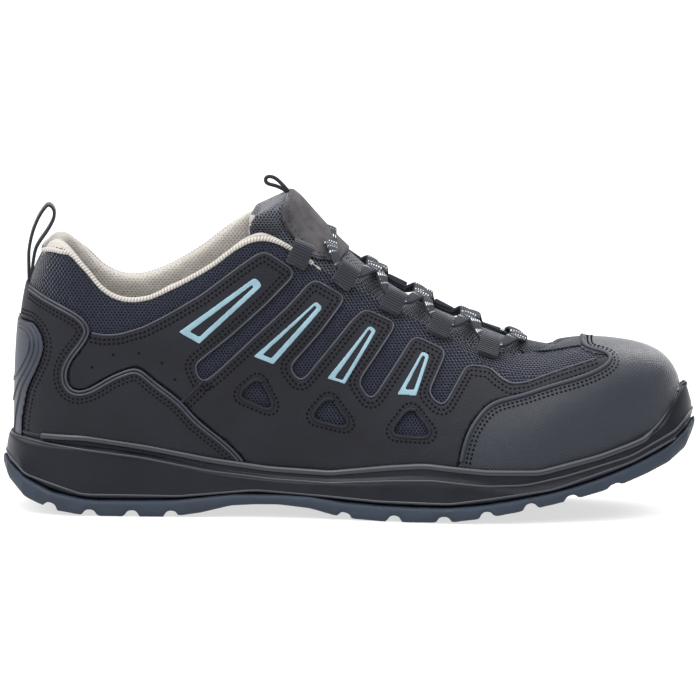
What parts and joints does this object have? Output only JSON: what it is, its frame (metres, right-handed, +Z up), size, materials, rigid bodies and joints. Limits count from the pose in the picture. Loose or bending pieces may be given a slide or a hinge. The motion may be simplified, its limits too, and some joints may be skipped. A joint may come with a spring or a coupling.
{
  "type": "safety sneaker",
  "caption": "Low lace-up safety trainer: hollow mesh upper with fingered side panels, scuff cap, padded collar and tongue on a cup sole with a lugged outsole",
  "frame": {"origin": "on the ground plane under the middle of the heel's ground flat", "axes": "+X towards the toe, -Y towards the outer (lateral) side of the foot, +Z up"},
  "size_m": [0.302, 0.1018, 0.1463],
  "materials": {
    "outsole": "matt blue-grey rubber",
    "midsole": "satin moulded foam with a skin",
    "upper": "coarse open mesh over a padded lining",
    "lining": "soft knitted lining",
    "panel": "smooth coated leather with stitch rows",
    "toe_cap": "fine pebbled scuff guard",
    "heel_pad": "moulded pad with ridges",
    "badge": "bare matt leather with a stitched edge",
    "webbing": "ribbed webbing",
    "lace": "flat woven lace with light flecks"
  },
  "bodies": {
    "root": {"outsole": "outsole", "midsole": "midsole", "insole": "lining", "upper": "upper", "toe_cap": "toe_cap", "heel_counter": "panel", "heel_pad": "heel_pad", "quarter_panel_lateral": "panel", "quarter_panel_medial": "panel", "tongue": "upper", "tongue_badge": "badge", "tongue_loop": "lace", "heel_pull_loop": "webbing", "lace_bar_toe": "lace", "lace_bar_top": "lace", "lace_cross_1": "lace", "lace_cross_2": "lace", "lace_cross_3": "lace", "lace_loop_lateral_1": "webbing", "lace_loop_lateral_2": "webbing", "lace_loop_lateral_3": "webbing", "lace_loop_lateral_4": "webbing", "lace_loop_lateral_5": "webbing", "lace_loop_medial_1": "webbing", "lace_loop_medial_2": "webbing", "lace_loop_medial_3": "webbing", "lace_loop_medial_4": "webbing", "lace_loop_medial_5": "webbing"}
  },
  "joints": []
}
